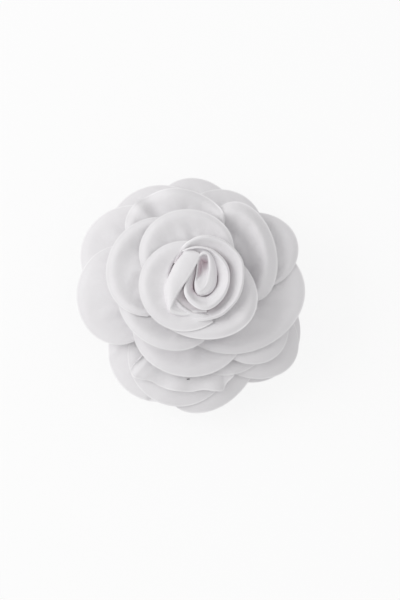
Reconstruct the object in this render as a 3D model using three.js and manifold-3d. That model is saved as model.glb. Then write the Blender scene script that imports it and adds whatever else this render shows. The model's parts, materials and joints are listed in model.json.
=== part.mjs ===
// Fabric rose on a sprung hair clip, in millimetres, +Z up along the flower's axis.
// The origin lies on the flat face under the clip's top arm, below the middle of the bud.
import * as THREE from 'three';
import { mergeVertices } from 'three/addons/utils/BufferGeometryUtils.js';
import Module from 'manifold-3d';

const wasm = await Module();
wasm.setup();

// ---- Driving dimensions -------------------------------------------------------------------

const clearance = 0.3;        // space between pieces that rest on or turn against each other

const bloom = 1;              // spread of the whole flower: 1 is a rose about 100 mm across
const rise = 1;               // height of the flower above its backing: 1 is about 30 mm
const cloth = 0.4;            // petal fabric with its stiffening
const petalGap = 0.5;         // air between a petal and the one it lies on

const rollRadius = 5.2;       // rolled strip at the heart of the bud
const rollTurns = 1.75;
const rollTop = 27;

const backingRadius = 18;     // felt disc that carries the petals
const backingThickness = 1.4;
const glueThickness = 0.6;    // bed of glue between felt and clip
const glueLength = 34;
const glueWidth = 6;

const armThickness = 0.8;     // sheet steel of both clip arms
const armWidth = 8;
const armTail = 22;           // from the origin to the tail end of the top arm
const flatLength = 19.5;      // flat face of the top arm, from the origin towards the nose
const flatEnd = 4.5;          // and from the origin towards the hinge
const joggle = 0.15;          // step up in the arm's underside at the hinge
const noseLength = 13;        // bent-down end of the top arm
const noseDrop = 1.7;
const gripGap = 4.6;          // open height between the two arms
const pivotX = 9;             // hinge pin, from the origin towards the tail
const pinRadius = 0.75;
const pinHeadRadius = 1.3;
const pinHeadThickness = 0.6;
const runningGap = 0.08;      // radial play of the pin in the ears
const earRadius = 1.9;
const earThickness = 0.7;
const leverLength = 13;       // thumb lever, from below the hinge to its end
const leverAngle = 17;        // degrees below the top arm
const toothPitch = 1.6;
const toothHeight = 0.6;
const toothCount = 6;

const wireRadius = 0.3;       // torsion spring
const coilRadius = 1.3;
const coilTurns = 4;
const coilPitch = 0.72;
const legLength = 7;

// The hinge pin stands below the flat face where its coil just clears the lower arm.
const pivotDepth = gripGap - clearance - wireRadius - coilRadius;

// ---- Colours ------------------------------------------------------------------------------

const fabric = { color: 0xf1eeec, roughness: 0.85, metalness: 0 };
const felt = { color: 0xf0eee9, roughness: 0.95, metalness: 0 };
const glue = { color: 0xe6e0cf, roughness: 0.4, metalness: 0 };
const steel = { color: 0xc4c6c8, roughness: 0.3, metalness: 1 };

const hairClip = new THREE.Group();

function addPiece(name, geometry, look) {
  const piece = new THREE.Mesh(geometry, new THREE.MeshStandardMaterial(look));
  piece.name = name;
  hairClip.add(piece);
  return piece;
}

const radians = THREE.MathUtils.degToRad;
const clamp = THREE.MathUtils.clamp;

// ---- Petals: where each one is set ---------------------------------------------------------

// What the petals of one row share: root = radius of the arc they are held by, sweep = half the
// angle of the ellipse that is rim, wrap = share of that angle that the root goes round the core,
// shoulder = where the cloth has reached its height, as a share of the petal's reach.
const rows = {
  back: { root: 15, sweep: 112, wrap: 0.4, shoulder: 0.62 },
  outer: { root: 13, sweep: 112, wrap: 0.4, shoulder: 0.62 },
  wide: { root: 12, sweep: 112, wrap: 0.4, shoulder: 0.62 },
  middle: { root: 11, sweep: 112, wrap: 0.5, shoulder: 0.62 },
  inner: { root: 9.5, sweep: 118, wrap: 0.6, shoulder: 0.66 },
  wrap: { root: 8, sweep: 123, wrap: 1, shoulder: 0.95 },
  fold: { root: 8, sweep: 62, wrap: 1, shoulder: 0.9 },
  heart: { root: 6.5, sweep: 142, wrap: 1, shoulder: 0.95 },
};

// One petal a line, from the lowest to the highest: row, the middle of its ellipse, the way it
// faces in degrees from +X, half the ellipse's length and width, how far the length is turned
// from the way it faces, the height of its rim, and how much higher its crown stands.
const petals = {
  back_petal_1: ['back', 24, -17, 315, 21, 22, 0, -8, 9],
  back_petal_2: ['back', 6, -30, 280, 18, 24, 39, -9, 10],
  back_petal_3: ['back', -16, -25, 238, 22, 22, 0, -9, 10],
  back_petal_4: ['back', -8, -28, 255, 21, 22, 0, -9, 10],
  back_petal_5: ['back', 21, -18.5, 320, 24, 18, 20, -5, 8],
  outer_petal_1: ['outer', -1, 30.5, 92, 22, 19, 0, -9, 11],
  outer_petal_2: ['outer', 9.5, 25, 68, 22, 19, 0, -5, 9],
  back_petal_6: ['back', -3, -33, 268, 11, 24, 0, -2, 5],
  outer_petal_3: ['outer', -17, 26, 120, 21, 22, 12, -4, 9],
  outer_petal_4: ['outer', 11, -15.5, 300, 21, 22, 0, 0, 6],
  outer_petal_5: ['outer', 18.5, -12, 315, 22, 18, 0, 4, 5],
  outer_petal_6: ['outer', -29.5, 14.5, 150, 21, 22, 0, 2, 6],
  outer_petal_7: ['outer', -34, -3.5, 190, 18, 21, -7, 3, 5],
  wide_petal_1: ['wide', -4.5, -17, 265, 21, 24, 4, 7, 3],
  wide_petal_2: ['wide', 17, -4.5, 318, 29, 23, 67, 10, 2],
  wide_petal_3: ['wide', 22.5, 15.5, 20, 20, 17, 0, 10, 3],
  middle_petal_1: ['middle', 17.5, 14.5, 30, 14, 22, -15, 17, 0],
  middle_petal_2: ['middle', -11.5, 25, 105, 16, 21, -10, 17, 1],
  middle_petal_3: ['middle', -14.5, -8.5, 225, 19, 22, 7, 19, 0],
  middle_petal_4: ['middle', -20.5, 6.5, 155, 19, 22, -5, 20, 0],
  inner_petal_1: ['inner', -7, 12.5, 105, 18, 20, 0, 23, 0],
  inner_petal_2: ['inner', -2, -4, 310, 25, 20, 32, 24, 0],
  inner_petal_3: ['inner', -8, -2.5, 190, 19, 19, 0, 25, 0],
  bud_petal_outer: ['wrap', 0, 0.5, 5, 16.5, 16.5, 0, 27, 0],
  bud_petal_left: ['fold', 0, 0.5, 192, 17, 17, 0, 26, 0],
  bud_petal_inner: ['heart', 0, 0, 348, 10.5, 12.5, 0, 28, 0],
};

// Plan point of a petal: out = 0 at the root and 1 at the rim, side = -1 to 1 across it.
function planPoint(petal, out, side) {
  const spread = radians(petal.sweep) * side;
  const faces = radians(petal.faces);
  const turned = faces + radians(petal.turned);
  const rimAngle = spread - radians(petal.turned);
  const lengthwise = petal.along * Math.cos(rimAngle);
  const sideways = petal.across * Math.sin(rimAngle);
  const rimX = petal.centreX + lengthwise * Math.cos(turned) - sideways * Math.sin(turned);
  const rimY = petal.centreY + lengthwise * Math.sin(turned) + sideways * Math.cos(turned);
  const rootX = petal.root * Math.cos(faces + spread * petal.wrap);
  const rootY = petal.root * Math.sin(faces + spread * petal.wrap);
  return [rootX + (rimX * bloom - rootX) * out, rootY + (rimY * bloom - rootY) * out];
}

// Height a petal would take on its own: it climbs from its root to its crown, then falls to the rim.
function freeHeight(petal, x, y) {
  const radius = Math.hypot(x, y);
  const shoulder = petal.shoulder * petal.reach;
  const climb = clamp((radius - petal.root) / (shoulder - petal.root), 0, 1);
  const fall = clamp((radius - shoulder) / (petal.reach - shoulder), 0, 1);
  const top = (petal.rim + petal.crown) * rise;
  return petalFloor + (top - petalFloor) * climb * climb * (3 - 2 * climb) - petal.crown * rise * fall ** 1.5;
}

// ---- Petals: laid one on another -----------------------------------------------------------

// The pile is the height of all that lies below, on a square grid round the flower's axis.
const pileCell = 0.5;
const pileHalf = Math.ceil(60 * bloom) + 6;
const pileSide = 2 * pileHalf / pileCell + 1;
const pile = new Float64Array(pileSide * pileSide).fill(-1000);

const feltTop = armThickness + glueThickness + backingThickness;
const petalFloor = feltTop + petalGap + cloth;
const layer = petalGap + cloth;      // from the top of one petal to the top of the next

// The felt and the clip's top arm are the bottom of the pile.
for (let row = 0; row < pileSide; row++) {
  for (let column = 0; column < pileSide; column++) {
    const x = column * pileCell - pileHalf;
    const y = row * pileCell - pileHalf;
    const overArm = Math.abs(y) < armWidth && x > -flatLength - noseLength - 2 && x < armTail + 2;
    if (overArm) pile[row * pileSide + column] = armThickness;
    if (Math.hypot(x, y) < backingRadius + 1) pile[row * pileSide + column] = feltTop;
  }
}

// Lowest height at a grid point that keeps a ball as thick as one layer off the pile.
const reachInCells = Math.ceil(layer / pileCell);

function heightOverPile(cell) {
  let height = -1000;
  for (let dy = -reachInCells; dy <= reachInCells; dy++) {
    for (let dx = -reachInCells; dx <= reachInCells; dx++) {
      const away = Math.hypot(dx, dy) * pileCell;
      const lift = away < layer ? Math.sqrt(layer * layer - away * away) : 0;
      height = Math.max(height, pile[cell + dy * pileSide + dx] + lift);
    }
  }
  return height;
}

// Grid points under one triangle, each with the share that the three corners have in it.
function pointsUnder(corners, xs, ys) {
  const [a, b, c] = corners;
  const area = (xs[b] - xs[a]) * (ys[c] - ys[a]) - (xs[c] - xs[a]) * (ys[b] - ys[a]);
  const found = [];
  if (Math.abs(area) < 1e-9) return found;
  const toCell = (value) => (value + pileHalf) / pileCell;
  const rowLow = Math.ceil(toCell(Math.min(ys[a], ys[b], ys[c])));
  const rowHigh = Math.floor(toCell(Math.max(ys[a], ys[b], ys[c])));
  const columnLow = Math.ceil(toCell(Math.min(xs[a], xs[b], xs[c])));
  const columnHigh = Math.floor(toCell(Math.max(xs[a], xs[b], xs[c])));
  for (let row = rowLow; row <= rowHigh; row++) {
    for (let column = columnLow; column <= columnHigh; column++) {
      const x = column * pileCell - pileHalf;
      const y = row * pileCell - pileHalf;
      const shareB = ((x - xs[a]) * (ys[c] - ys[a]) - (xs[c] - xs[a]) * (y - ys[a])) / area;
      const shareC = ((xs[b] - xs[a]) * (y - ys[a]) - (x - xs[a]) * (ys[b] - ys[a])) / area;
      const shareA = 1 - shareB - shareC;
      if (Math.min(shareA, shareB, shareC) < -1e-6) continue;
      found.push({ cell: row * pileSide + column, corners, shares: [shareA, shareB, shareC] });
    }
  }
  return found;
}

const cellsOut = 6;
const cellsAcross = 11;
const pointsAcross = cellsAcross + 1;
const settlingPasses = 30;
const spread = 0.6;           // how far a lifted point lifts its neighbours

const heightAt = ({ corners: [a, b, c], shares }, zs) => zs[a] * shares[0] + zs[b] * shares[1] + zs[c] * shares[2];

// Raises the corners of a sheet where it cuts the pile, and lets the others sink as far as they can.
function sink(zs, lowest, under, floors, touching) {
  for (let pass = 0; pass < settlingPasses; pass++) {
    const spares = under.map((point, index) => heightAt(point, zs) - floors[index]);
    for (let i = 0; i < zs.length; i++) {
      let short = 0;
      let room = Infinity;
      for (const [index, share] of touching[i]) {
        if (spares[index] < 0) short = Math.max(short, -spares[index]);
        else room = Math.min(room, spares[index] / share);
      }
      zs[i] = Math.max(lowest[i], short > 0 ? zs[i] + short : zs[i] - room / 3);
    }
  }
}

// Lays a petal's sheet on the pile: it is lifted where it would touch, and the lift is spread.
function settle(zs, under) {
  const free = zs.slice();
  const floors = under.map((point) => heightOverPile(point.cell));
  const touching = zs.map(() => []);
  under.forEach((point, index) => point.corners.forEach((corner, i) => {
    if (point.shares[i] > 0.02) touching[corner].push([index, point.shares[i]]);
  }));
  sink(zs, free, under, floors, touching);
  const lifts = zs.map((z, i) => z - free[i]);
  const softened = zs.map((z, i) => {
    const column = i % pointsAcross;
    const near = [i - pointsAcross, i + pointsAcross];
    if (column > 0) near.push(i - 1);
    if (column < pointsAcross - 1) near.push(i + 1);
    const inside = near.filter((n) => n >= 0 && n < zs.length);
    return free[i] + spread * inside.reduce((sum, n) => sum + lifts[n], 0) / inside.length;
  });
  sink(zs, softened, under, floors, touching);
}

function petalGeometry(petal) {
  const xs = [];
  const ys = [];
  for (let i = 0; i <= cellsOut; i++) {
    for (let j = 0; j <= cellsAcross; j++) {
      const [x, y] = planPoint(petal, i / cellsOut, 2 * j / cellsAcross - 1);
      xs.push(x);
      ys.push(y);
    }
  }
  const triangles = [];
  for (let i = 0; i < cellsOut; i++) {
    for (let j = 0; j < cellsAcross; j++) {
      const a = i * pointsAcross + j;
      const b = a + pointsAcross;
      triangles.push([a, b, b + 1], [a, b + 1, a + 1]);
    }
  }
  const under = triangles.flatMap((corners) => pointsUnder(corners, xs, ys));
  const zs = xs.map((x, i) => freeHeight(petal, x, ys[i]));
  settle(zs, under);
  under.forEach((point) => { pile[point.cell] = Math.max(pile[point.cell], heightAt(point, zs)); });
  return sheetSolid(xs, ys, zs, triangles);
}

// Closed solid of a sheet: its top points, and the same points one cloth below along the normal.
function sheetSolid(xs, ys, zs, triangles) {
  const count = xs.length;
  const top = new THREE.BufferGeometry();
  const positions = xs.flatMap((x, i) => [x, ys[i], zs[i]]);
  top.setAttribute('position', new THREE.Float32BufferAttribute(positions, 3));
  top.setIndex(triangles.flat());
  top.computeVertexNormals();
  const normals = top.getAttribute('normal');
  for (let i = 0; i < count; i++) {
    positions.push(
      xs[i] - cloth * normals.getX(i),
      ys[i] - cloth * normals.getY(i),
      zs[i] - cloth * normals.getZ(i),
    );
  }
  const index = triangles.flatMap(([a, b, c]) => [a, b, c, a + count, c + count, b + count]);
  const last = cellsOut * pointsAcross;
  const edge = [];
  for (let j = 0; j < cellsAcross; j++) edge.push([j + 1, j], [last + j, last + j + 1]);
  for (let i = 0; i < cellsOut; i++) {
    const left = i * pointsAcross;
    const right = left + cellsAcross;
    edge.push([left, left + pointsAcross], [right + pointsAcross, right]);
  }
  edge.forEach(([a, b]) => index.push(b, a, a + count, b, a + count, b + count));
  const solid = new THREE.BufferGeometry();
  solid.setAttribute('position', new THREE.Float32BufferAttribute(positions, 3));
  solid.setIndex(index);
  return solid;
}

function addPetals() {
  for (const [name, values] of Object.entries(petals)) {
    const [row, centreX, centreY, faces, along, across, turned, rim, crown] = values;
    const petal = { ...rows[row], centreX, centreY, faces, along, across, turned, rim, crown };
    const [tipX, tipY] = planPoint(petal, 1, 0);
    petal.reach = Math.hypot(tipX, tipY);
    addPiece(name, petalGeometry(petal), fabric);
  }
}

// ---- Bud roll -------------------------------------------------------------------------------

// Upright strip of fabric rolled into a spiral, from the felt to the top of the bud.
function addBudRoll() {
  const innerRadius = rollRadius / 4;
  const steps = Math.round(rollTurns * 20);
  const point = (step, inward) => {
    const angle = 2 * Math.PI * rollTurns * step / steps;
    const radius = innerRadius + (rollRadius - innerRadius) * step / steps - inward;
    return new THREE.Vector2(radius * Math.cos(angle), radius * Math.sin(angle));
  };
  const outline = [];
  for (let step = 0; step <= steps; step++) outline.push(point(step, 0));
  for (let step = steps; step >= 0; step--) outline.push(point(step, cloth));
  const foot = feltTop + petalGap;
  const depth = rollTop * rise - foot;
  const strip = new THREE.ExtrudeGeometry(new THREE.Shape(outline), { depth, bevelEnabled: false });
  addPiece('bud_roll', strip.translate(0, 0, foot), fabric);
}

// ---- Backing --------------------------------------------------------------------------------

function placed(geometry, x, y, z) {
  return geometry.translate(x, y, z);
}

// Rounded bar lying along X in plan, standing `height` up from z = 0.
function bar(low, high, width, height) {
  const half = width / 2;
  const plan = new THREE.Shape();
  plan.absarc(high - half, 0, half, -Math.PI / 2, Math.PI / 2);
  plan.absarc(low + half, 0, half, Math.PI / 2, 1.5 * Math.PI);
  return new THREE.ExtrudeGeometry(plan, { depth: height, bevelEnabled: false, curveSegments: 10 });
}

function addBacking() {
  const round = new THREE.Shape();
  round.absarc(0, 0, backingRadius, 0, 2 * Math.PI);
  const disc = { depth: backingThickness, bevelEnabled: false, curveSegments: 48 };
  const feltBottom = armThickness + glueThickness;
  addPiece('felt_backing', placed(new THREE.ExtrudeGeometry(round, disc), 0, 0, feltBottom), felt);
  const bed = bar(-glueLength / 2, glueLength / 2, glueWidth, glueThickness);
  addPiece('glue_bed', placed(bed, 0, 0, armThickness), glue);
}

// ---- Clip: two sprung arms on a pin ---------------------------------------------------------

function toSolid(geometry) {
  geometry.deleteAttribute('normal');
  geometry.deleteAttribute('uv');
  const merged = mergeVertices(geometry);
  const vertProperties = new Float32Array(merged.getAttribute('position').array);
  const triVerts = new Uint32Array(merged.getIndex().array);
  return new wasm.Manifold(new wasm.Mesh({ numProp: 3, vertProperties, triVerts }));
}

function toGeometry(solid) {
  const mesh = solid.getMesh();
  const geometry = new THREE.BufferGeometry();
  geometry.setAttribute('position', new THREE.Float32BufferAttribute(mesh.vertProperties, 3));
  geometry.setIndex(Array.from(mesh.triVerts));
  return geometry;
}

// Side view given as a shape in X and Z, made `width` wide in Y and centred on y.
function sidewall(profile, width, y) {
  const geometry = new THREE.ExtrudeGeometry(profile, { depth: width, bevelEnabled: false, curveSegments: 12 });
  return geometry.rotateX(Math.PI / 2).translate(0, y + width / 2, 0);
}

// Ear with a pin hole: it stands on a plate at height `foot` and ends round the pivot.
function ear(foot, y) {
  const spreadAtFoot = earRadius + 1;
  const upward = foot < -pivotDepth;
  const profile = new THREE.Shape();
  profile.moveTo(pivotX - spreadAtFoot, foot);
  profile.lineTo(pivotX - earRadius, -pivotDepth);
  profile.absarc(pivotX, -pivotDepth, earRadius, Math.PI, 0, upward);
  profile.lineTo(pivotX + spreadAtFoot, foot);
  const hole = new THREE.Path();
  hole.absarc(pivotX, -pivotDepth, pinRadius + runningGap, 0, 2 * Math.PI);
  profile.holes.push(hole);
  return sidewall(profile, earThickness, y);
}

const armNose = -flatLength - noseLength;
const undersideOfNose = (x) => -noseDrop * (-flatLength - x) / noseLength;

function addTopArm() {
  const profile = new THREE.Shape();
  profile.moveTo(armTail, joggle);
  profile.lineTo(armTail, armThickness);
  profile.lineTo(-flatLength, armThickness);
  profile.lineTo(armNose, armThickness - noseDrop);
  profile.lineTo(armNose, -noseDrop);
  profile.lineTo(-flatLength, 0);
  profile.lineTo(flatEnd, 0);
  profile.lineTo(flatEnd + joggle, joggle);
  const plan = placed(bar(armNose, armTail, armWidth, 4 * armThickness + noseDrop), 0, 0, -2 * noseDrop);
  let arm = toSolid(sidewall(profile, armWidth, 0)).intersect(toSolid(plan));
  const earY = (armWidth - earThickness) / 2;
  for (const side of [-1, 1]) arm = arm.add(toSolid(ear(armThickness / 2, side * earY)));
  addPiece('top_arm', toGeometry(arm), steel);
}

// The jaw's width fits between the top arm's ears.
const jawWidth = armWidth - 2 * earThickness - 2 * clearance;
const bendX = pivotX + 2;

function addLowerJaw() {
  const lean = radians(leverAngle);
  const bite = toothCount * toothPitch;
  const top = [
    [bendX + leverLength * Math.cos(lean), -gripGap - leverLength * Math.sin(lean)],
    [bendX, -gripGap],
    [-flatLength + 2, -gripGap],
  ];
  for (let tooth = 0; tooth < toothCount; tooth++) {
    const root = armNose + bite - tooth * toothPitch;
    const tip = root - toothPitch / 2;
    top.push([root, undersideOfNose(root) - clearance - toothHeight]);
    top.push([tip, undersideOfNose(tip) - clearance]);
  }
  top.push([armNose, -noseDrop - clearance - toothHeight]);
  const profile = new THREE.Shape();
  top.forEach(([x, z], i) => (i === 0 ? profile.moveTo(x, z) : profile.lineTo(x, z)));
  profile.lineTo(armNose, -noseDrop - clearance - toothHeight - armThickness);
  profile.lineTo(armNose + bite, undersideOfNose(armNose + bite) - clearance - toothHeight - armThickness);
  profile.lineTo(-flatLength + 2, -gripGap - armThickness);
  profile.lineTo(bendX, -gripGap - armThickness);
  profile.lineTo(top[0][0] - armThickness * Math.sin(lean), top[0][1] - armThickness * Math.cos(lean));
  const deep = gripGap + leverLength;
  const plan = placed(bar(armNose, bendX + leverLength, jawWidth, deep), 0, 0, -deep);
  let jaw = toSolid(sidewall(profile, jawWidth, 0)).intersect(toSolid(plan));
  const earY = (jawWidth - earThickness) / 2;
  const foot = -gripGap - armThickness / 2;
  for (const side of [-1, 1]) jaw = jaw.add(toSolid(ear(foot, side * earY)));
  addPiece('lower_jaw', toGeometry(jaw), steel);
}

function addPivotPin() {
  const shank = armWidth / 2 + clearance;
  const end = shank + pinHeadThickness;
  const profile = [
    [0, -end], [pinHeadRadius, -end], [pinHeadRadius, -shank], [pinRadius, -shank],
    [pinRadius, shank], [pinHeadRadius, shank], [pinHeadRadius, end], [0, end],
  ].map(([radius, y]) => new THREE.Vector2(radius, y));
  const pin = addPiece('pivot_pin', new THREE.LatheGeometry(profile, 24), steel);
  pin.position.set(pivotX, 0, -pivotDepth);
}

// Wire from under the top arm, round the pin, and out along the lever.
function addSpring() {
  const turns = coilTurns - 0.5;
  const stepsPerTurn = 12;
  const halfWidth = turns * coilPitch / 2;
  const besideArm = -clearance - wireRadius;
  const besideLever = bendX - pivotX + 0.2;
  const leverTop = -gripGap - (legLength - 2) * Math.tan(radians(leverAngle));
  const points = [
    [legLength, -halfWidth, besideArm],
    [legLength / 2, -halfWidth, (besideArm - pivotDepth + coilRadius) / 2],
  ];
  for (let step = 0; step <= turns * stepsPerTurn; step++) {
    const angle = Math.PI / 2 + 2 * Math.PI * step / stepsPerTurn;
    const y = -halfWidth + coilPitch * step / stepsPerTurn;
    points.push([coilRadius * Math.cos(angle), y, coilRadius * Math.sin(angle) - pivotDepth]);
  }
  points.push([besideLever, halfWidth, -pivotDepth - coilRadius]);
  points.push([legLength, halfWidth, leverTop + clearance + 2 * wireRadius]);
  const path = new THREE.CatmullRomCurve3(points.map(([x, y, z]) => new THREE.Vector3(x + pivotX, y, z)));
  const section = new THREE.Shape();
  section.absarc(0, 0, wireRadius, 0, 2 * Math.PI);
  const wire = { extrudePath: path, steps: 72, curveSegments: 4, bevelEnabled: false };
  addPiece('torsion_spring', new THREE.ExtrudeGeometry(section, wire), steel);
}

addPetals();
addBudRoll();
addBacking();
addTopArm();
addLowerJaw();
addPivotPin();
addSpring();

export default hairClip;
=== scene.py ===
import json
import math

import bpy
import numpy as np
from mathutils import Matrix, Vector


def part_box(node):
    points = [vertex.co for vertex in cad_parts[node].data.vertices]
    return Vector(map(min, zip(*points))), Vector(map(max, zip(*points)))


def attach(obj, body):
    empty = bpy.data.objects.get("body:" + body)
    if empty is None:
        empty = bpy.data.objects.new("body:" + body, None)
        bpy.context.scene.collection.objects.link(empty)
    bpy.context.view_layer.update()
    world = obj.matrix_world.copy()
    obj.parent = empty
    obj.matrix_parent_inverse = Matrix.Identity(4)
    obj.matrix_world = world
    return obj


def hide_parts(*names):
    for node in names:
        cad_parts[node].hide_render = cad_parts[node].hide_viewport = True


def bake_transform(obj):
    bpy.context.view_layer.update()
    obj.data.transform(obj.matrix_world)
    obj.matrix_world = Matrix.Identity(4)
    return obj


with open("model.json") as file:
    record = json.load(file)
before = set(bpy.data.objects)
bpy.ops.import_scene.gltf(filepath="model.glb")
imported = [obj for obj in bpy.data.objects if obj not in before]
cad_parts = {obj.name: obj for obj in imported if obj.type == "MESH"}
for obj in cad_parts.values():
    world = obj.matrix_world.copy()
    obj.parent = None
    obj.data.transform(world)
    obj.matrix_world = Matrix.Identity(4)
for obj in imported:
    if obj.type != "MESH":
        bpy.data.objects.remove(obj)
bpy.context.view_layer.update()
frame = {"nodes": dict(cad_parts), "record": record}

# ---- Camera, lamps and table ----------------------------------------------------------------
# The flower is seen from almost straight above, from a little to its lower left, through a long
# lens. A broad lamp stands at the upper left, and the rest of the room is even and pale.

mm = 0.001
camera_distance = 0.6
camera_azimuth = math.radians(-30)
camera_elevation = math.radians(78)
camera_aim = Vector((0.1, -5.2, 7.0)) * mm

back = Vector((math.sin(camera_azimuth) * math.cos(camera_elevation),
               -math.cos(camera_azimuth) * math.cos(camera_elevation),
               math.sin(camera_elevation)))
up = (Vector((0, 1, 0)) - back * back.y).normalized()
turn = Matrix((up.cross(back), up, back)).transposed().to_4x4()
camera_data = bpy.data.cameras.new("camera")
camera_data.lens = 85
camera_data.sensor_width = 36
camera_data.clip_start = 0.01
camera = bpy.data.objects.new("camera", camera_data)
camera.matrix_world = Matrix.Translation(camera_aim + back * camera_distance) @ turn
bpy.context.collection.objects.link(camera)
bpy.context.scene.camera = camera
bpy.context.scene.view_settings.view_transform = "Standard"

lamp_place = Vector((-0.95, 0.14, 0.66))
lamp = bpy.data.lights.new("window_lamp", "AREA")
lamp.size = 0.7
lamp.energy = 5.2
lamp_object = bpy.data.objects.new("window_lamp", lamp)
lamp_object.location = lamp_place
lamp_object.rotation_euler = (-lamp_place).to_track_quat("-Z", "Y").to_euler()
bpy.context.collection.objects.link(lamp_object)
world = bpy.data.worlds.new("room")
world.use_nodes = True
bpy.context.scene.world = world

# The table lies below the jaw's lowest swing, so that the clip has room to open over it. At rest
# the clip therefore hangs some way above the table.
table_clearance = 0.003
table_size = 40
table_glow = 0.85
jaw_hinge = frame["record"]["behaviour"]["joints"][0]
hinge_x, hinge_z = jaw_hinge["pos_m"][0], jaw_hinge["pos_m"][2]
jaw_reach = hinge_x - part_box("lower_jaw")[0][0]
jaw_drop = jaw_reach * math.sin(math.radians(jaw_hinge["range_deg"][1]))
table_height = hinge_z - jaw_drop - table_clearance


class Shade:
    """One output of a material's nodes, on which sums are written as Python."""

    def __init__(self, tree, socket):
        self.tree, self.socket = tree, socket

    def node(self, kind, settings=None, output=0, **inputs):
        """Adds a node: its settings first, then values or links for its sockets by name or number."""
        made = self.tree.nodes.new(kind)
        for key, value in (settings or {}).items():
            setattr(made, key, value)
        for key, value in inputs.items():
            by_number = key[0] == "i" and key[1:].isdigit()
            slot = made.inputs[int(key[1:]) if by_number else key.replace("_", " ")]
            if isinstance(value, Shade):
                self.tree.links.new(value.socket, slot)
            else:
                slot.default_value = value
        return Shade(self.tree, made.outputs[output])

    def also(self, name):
        """Another output of the same node."""
        return Shade(self.tree, self.socket.node.outputs[name])

    def feeds(self, shader, name):
        """Leads this output into a shader's socket."""
        self.tree.links.new(self.socket, shader.inputs[name])

    def sum_with(self, operation, a, b):
        return self.node("ShaderNodeMath", {"operation": operation}, i0=a, i1=b)

    def __add__(self, other):
        return self.sum_with("ADD", self, other)

    def __radd__(self, other):
        return self.sum_with("ADD", other, self)

    def __sub__(self, other):
        return self.sum_with("SUBTRACT", self, other)

    def __rsub__(self, other):
        return self.sum_with("SUBTRACT", other, self)

    def __mul__(self, other):
        return self.sum_with("MULTIPLY", self, other)

    def __rmul__(self, other):
        return self.sum_with("MULTIPLY", other, self)

    def clamped(self, low, high):
        """0 at low and 1 at high, smooth between."""
        return self.node("ShaderNodeMapRange", {"interpolation_type": "SMOOTHSTEP"},
                         i0=self, i1=low, i2=high, i3=0.0, i4=1.0)

    def mix(self, colour_a, colour_b):
        """colour_a where this is 0 and colour_b where it is 1."""
        return self.node("ShaderNodeMix", {"data_type": "RGBA"}, output=2,
                         i0=self, i6=colour_a, i7=colour_b)


def new_material(name):
    """A material with only its Principled shader, and a Shade to start from."""
    material = bpy.data.materials.new(name)
    material.use_nodes = True
    tree = material.node_tree
    return material, tree.nodes["Principled BSDF"], Shade(tree, None)


room = world.node_tree.nodes["Background"]
room.inputs["Color"].default_value = (1, 1, 1, 1)
room_light = 0.67


def seen_directly(start):
    """1 for what the camera, a reflection or a clear piece sees, and 0 for light that falls on things."""
    ray = start.node("ShaderNodeLightPath")
    seen = ray.also("Is Camera Ray") + ray.also("Is Glossy Ray") + ray.also("Is Transmission Ray")
    return seen.clamped(0.0, 1.0)


strength = seen_directly(Shade(world.node_tree, None)) * (1 - room_light) + room_light
strength.feeds(room, "Strength")


def table_material():
    material, shader, start = new_material("white_table")
    tree = material.node_tree
    shader.inputs["Base Color"].default_value = (0.93, 0.93, 0.93, 1)
    shader.inputs["Roughness"].default_value = 0.9
    glow = start.node("ShaderNodeEmission", Color=(1, 1, 1, 1), Strength=1.0)
    seen = seen_directly(start) * table_glow
    mixed = start.node("ShaderNodeMixShader", i0=seen, i1=Shade(tree, shader.outputs["BSDF"]), i2=glow)
    mixed.feeds(tree.nodes["Material Output"], "Surface")
    return material


bpy.ops.mesh.primitive_plane_add(size=table_size, location=(0, 0, table_height))
table = bpy.context.object
table.name = "table"
table.data.materials.append(table_material())

# ---- Petals ---------------------------------------------------------------------------------
# Each petal is a round of stiffened chiffon, cut hot so that its rim is fused into a thin smooth
# bead, cupped over a ball, and glued by its inner edge round the bud and onto the petals below.
# A highlight is painted along each rim, in a whiter colour.

cloth = 0.25                 # these sections reckon in millimetres until a mesh is made
petal_gap = 0.35
layer = cloth + petal_gap
points_out = 34
points_across = 90

# root is the radius where a row's petals are glued. sweep is how far a rim runs to each side of
# the way it faces, in degrees, and wrap is the share of that which its foot runs round the bud.
# shoulder is where the cloth starts to turn down, as a share of the petal's reach.
rows = {
    "back": dict(root=15, sweep=112, wrap=0.4, shoulder=0.62),
    "outer": dict(root=13, sweep=112, wrap=0.4, shoulder=0.62),
    "wide": dict(root=12, sweep=112, wrap=0.4, shoulder=0.62),
    "middle": dict(root=11, sweep=112, wrap=0.5, shoulder=0.62),
    "inner": dict(root=9.5, sweep=118, wrap=0.6, shoulder=0.56),
}

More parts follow.
